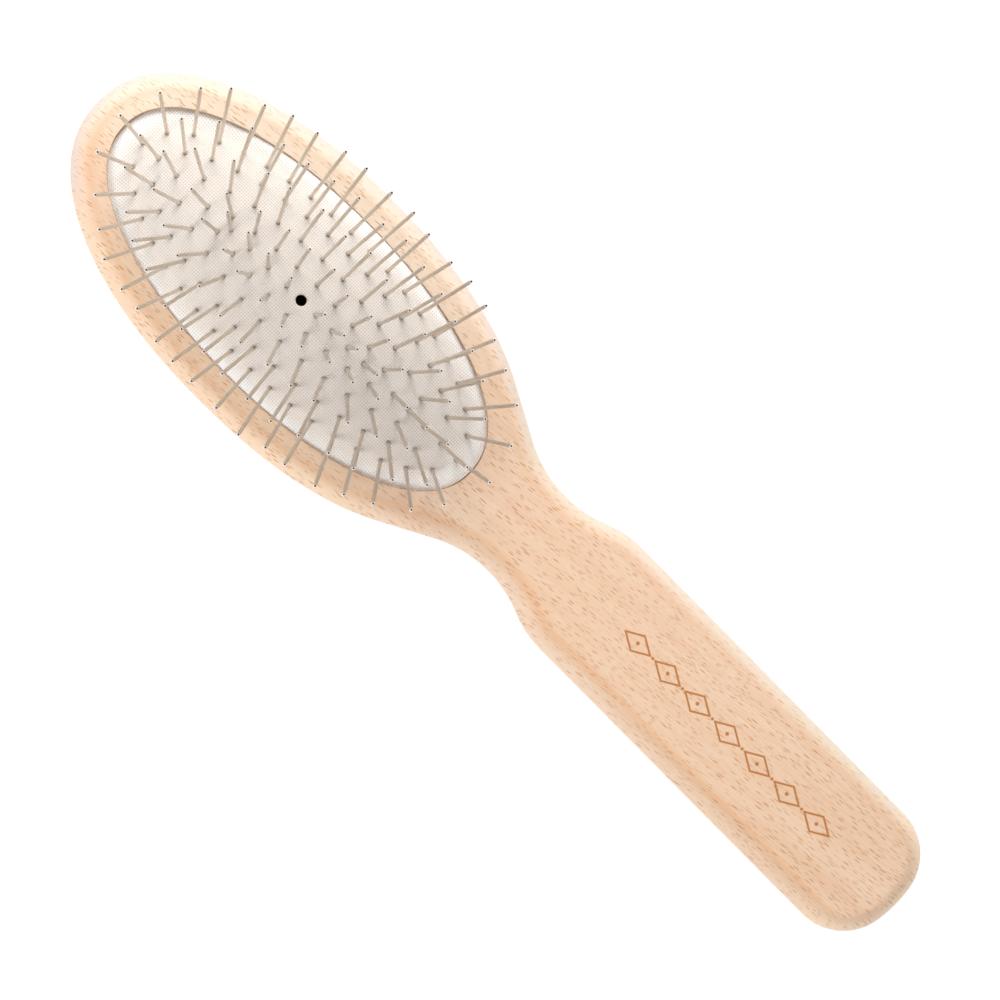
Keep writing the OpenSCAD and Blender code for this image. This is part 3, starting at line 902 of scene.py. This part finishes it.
def pin_tree():
    """Geometry Nodes that upset, draw out and round one wire, and set a copy of it on each point."""
    tree = bpy.data.node_groups.new("wire_pins", "GeometryNodeTree")
    tree.interface.new_socket("Points", in_out="INPUT", socket_type="NodeSocketGeometry")
    for name, kind in (("Length", "Float"), ("Wire Radius", "Float"), ("Head Radius", "Float"),
                       ("Head Thickness", "Float"), ("Sides", "Int"), ("Seed", "Int"),
                       ("Finish", "Material")):
        tree.interface.new_socket(name, in_out="INPUT", socket_type="NodeSocket" + kind)
    tree.interface.new_socket("Pins", in_out="OUTPUT", socket_type="NodeSocketGeometry")
    given = tree.nodes.new("NodeGroupInput").outputs

    blank = tree.nodes.new("GeometryNodeMeshCircle")
    blank.fill_type = "NGON"
    tree.links.new(given["Sides"], blank.inputs["Vertices"])
    tree.links.new(given["Head Radius"], blank.inputs["Radius"])
    tools = {"solid": blank.outputs[0], "end": None}

    def draw_out(distance):
        """Pulls the wire's end face up by a distance."""
        made = new_node(tree, "GeometryNodeExtrudeMesh", Mesh=tools["solid"], Offset_Scale=distance)
        if tools["end"]:
            tree.links.new(tools["end"], made.inputs["Selection"])
        tools["solid"], tools["end"] = made.outputs["Mesh"], made.outputs["Top"]

    def narrow(factor):
        """Scales the wire's end face about its middle."""
        made = new_node(tree, "GeometryNodeScaleElements", Geometry=tools["solid"],
                        Selection=tools["end"], Scale=factor)
        tools["solid"] = made.outputs[0]

    draw_out(given["Head Thickness"])
    draw_out(0.0)
    narrow(math_of(tree, "DIVIDE", given["Wire Radius"], given["Head Radius"]))
    shank = math_of(tree, "SUBTRACT", given["Length"],
                    math_of(tree, "ADD", given["Head Thickness"], given["Wire Radius"]))
    for stretch in (shank_end, math_of(tree, "SUBTRACT", shank, 2 * shank_end), shank_end):
        draw_out(stretch)
    turn_before = 0
    for turn in round_end_turns:
        risen = math.sin(math.radians(turn)) - math.sin(math.radians(turn_before))
        draw_out(math_of(tree, "MULTIPLY", given["Wire Radius"], risen))
        narrow(math.cos(math.radians(turn)) / math.cos(math.radians(turn_before)))
        turn_before = turn
    bottom = tree.nodes.new("GeometryNodeMeshCircle")
    bottom.fill_type = "NGON"
    tree.links.new(given["Sides"], bottom.inputs["Vertices"])
    tree.links.new(given["Head Radius"], bottom.inputs["Radius"])
    turned = new_node(tree, "GeometryNodeFlipFaces", Mesh=bottom.outputs[0])
    both = tree.nodes.new("GeometryNodeJoinGeometry")
    tree.links.new(turned.outputs[0], both.inputs[0])
    tree.links.new(tools["solid"], both.inputs[0])
    closed = new_node(tree, "GeometryNodeMergeByDistance", Geometry=both.outputs[0], Distance=same_point)
    rounded = new_node(tree, "GeometryNodeSetShadeSmooth", Geometry=closed.outputs[0])
    place = tree.nodes.new("GeometryNodeInputPosition").outputs[0]
    height = new_node(tree, "ShaderNodeSeparateXYZ", _0=place)
    share = math_of(tree, "DIVIDE", height.outputs["Z"], given["Length"])
    marked = new_node(tree, "GeometryNodeStoreNamedAttribute", Geometry=rounded.outputs[0],
                      Name="up_the_wire", Value=share)

    axis = tree.nodes.new("GeometryNodeInputNamedAttribute")
    axis.data_type = "FLOAT_VECTOR"
    axis.inputs["Name"].default_value = "axis"
    upright = tree.nodes.new("FunctionNodeAlignRotationToVector")
    upright.axis = "Z"
    tree.links.new(axis.outputs["Attribute"], upright.inputs["Vector"])
    copies = new_node(tree, "GeometryNodeInstanceOnPoints", Points=given["Points"],
                      Instance=marked.outputs[0], Rotation=upright.outputs[0])
    chance = tree.nodes.new("FunctionNodeRandomValue")
    tree.links.new(given["Seed"], chance.inputs["Seed"])
    toned = new_node(tree, "GeometryNodeStoreNamedAttribute", Geometry=copies.outputs[0], Name="wire_tone")
    toned.domain = "INSTANCE"
    tree.links.new(next(s for s in chance.outputs if s.enabled), next(
        s for s in toned.inputs if s.name == "Value" and s.enabled))
    real = new_node(tree, "GeometryNodeRealizeInstances", Geometry=toned.outputs[0])
    done = new_node(tree, "GeometryNodeSetMaterial", Geometry=real.outputs[0], Material=given["Finish"])
    new_node(tree, "NodeGroupOutput", _0=done.outputs[0])
    return tree


def pins_from(tree, name, wires, seed, finish):
    """Plain mesh object of a group of pins, made by the tree on their heads' places."""
    cloud = bpy.data.meshes.new(name + "_places")
    cloud.from_pydata([tip - pin_length * axis for tip, axis in wires], [], [])
    axis_of = cloud.attributes.new("axis", "FLOAT_VECTOR", "POINT")
    axis_of.data.foreach_set("vector", [part for _, axis in wires for part in axis])
    holder = bpy.data.objects.new(name + "_places", cloud)
    scene.collection.objects.link(holder)
    modifier = holder.modifiers.new("wire_pins", "NODES")
    modifier.node_group = tree
    values = {"Length": pin_length, "Wire Radius": pin_radius, "Head Radius": pin_head_radius,
              "Head Thickness": pin_head_thickness, "Sides": pin_sides, "Seed": seed, "Finish": finish}
    for item in tree.interface.items_tree:
        if item.in_out == "INPUT" and item.name in values:
            modifier[item.identifier] = values[item.name]
    evaluated = holder.evaluated_get(bpy.context.evaluated_depsgraph_get())
    mesh = bpy.data.meshes.new_from_object(evaluated)
    mesh.name = name
    bpy.data.objects.remove(holder)
    made = bpy.data.objects.new(name, mesh)
    scene.collection.objects.link(made)
    return made


steel_bright = (0.78, 0.71, 0.62, 1)
# The dull colour also serves as painted shade at the wire's foot.
steel_dull_and_shaded = (0.55, 0.48, 0.40, 1)
steel_polished = (0.97, 0.94, 0.90, 1)
film_scale = 900.0
film_from = (0.35, 0.75)
film_shown = 0.2
tones_shown = 0.25
# Painted shade where the wire leaves the cloth.
foot_shade_from = (0.13, 0.2)
foot_shade_shown = 0.5
polished_from = (0.974, 0.982)
shank_roughness = 0.28
film_roughness = 0.1
polish = 0.75


def polished_steel():
    """Drawn steel wire, a little dull along the shank and polished at its round end."""
    finish = bpy.data.materials.new("pin_steel")
    finish.use_nodes = True
    tree = finish.node_tree
    tree.nodes.clear()
    place = new_node(tree, "ShaderNodeTexCoord").outputs["Object"]
    marks = [new_node(tree, "ShaderNodeAttribute") for _ in range(2)]
    for mark, name in zip(marks, ("up_the_wire", "wire_tone")):
        mark.attribute_name = name
    height, tone = [mark.outputs["Fac"] for mark in marks]
    film = new_node(tree, "ShaderNodeTexNoise", Vector=place, Scale=film_scale, Detail=2.0).outputs["Fac"]
    dull = math_of(tree, "ADD", ramp_of(tree, film, *film_from, 0.0, film_shown),
                   math_of(tree, "MULTIPLY", tone, tones_shown))
    # Painted shade: the wire darkens just above the cloth.
    dull = math_of(tree, "ADD", dull, ramp_of(tree, height, *foot_shade_from, foot_shade_shown, 0.0), clamp=True)
    colour = mix_colour(tree, dull, steel_bright, steel_dull_and_shaded)
    at_end = ramp_of(tree, height, *polished_from)
    colour = mix_colour(tree, at_end, colour, steel_polished)
    shank_gloss = math_of(tree, "MULTIPLY_ADD", film, film_roughness, shank_roughness)
    gloss = math_of(tree, "MULTIPLY", shank_gloss, math_of(tree, "MULTIPLY_ADD", at_end, -polish, 1.0))
    surface = new_node(tree, "ShaderNodeBsdfPrincipled", Base_Color=colour, Roughness=gloss)
    surface.inputs["Metallic"].default_value = 1.0
    new_node(tree, "ShaderNodeOutputMaterial", Surface=surface.outputs[0])
    return finish


wire_tree = pin_tree()
wire_finish = polished_steel()
for seed, (node_name, wires) in enumerate(pins.items()):
    wire_group = pins_from(wire_tree, "wires_" + node_name[len("pins_"):], wires, seed, wire_finish)
    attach(wire_group, "root")
    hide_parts(node_name)
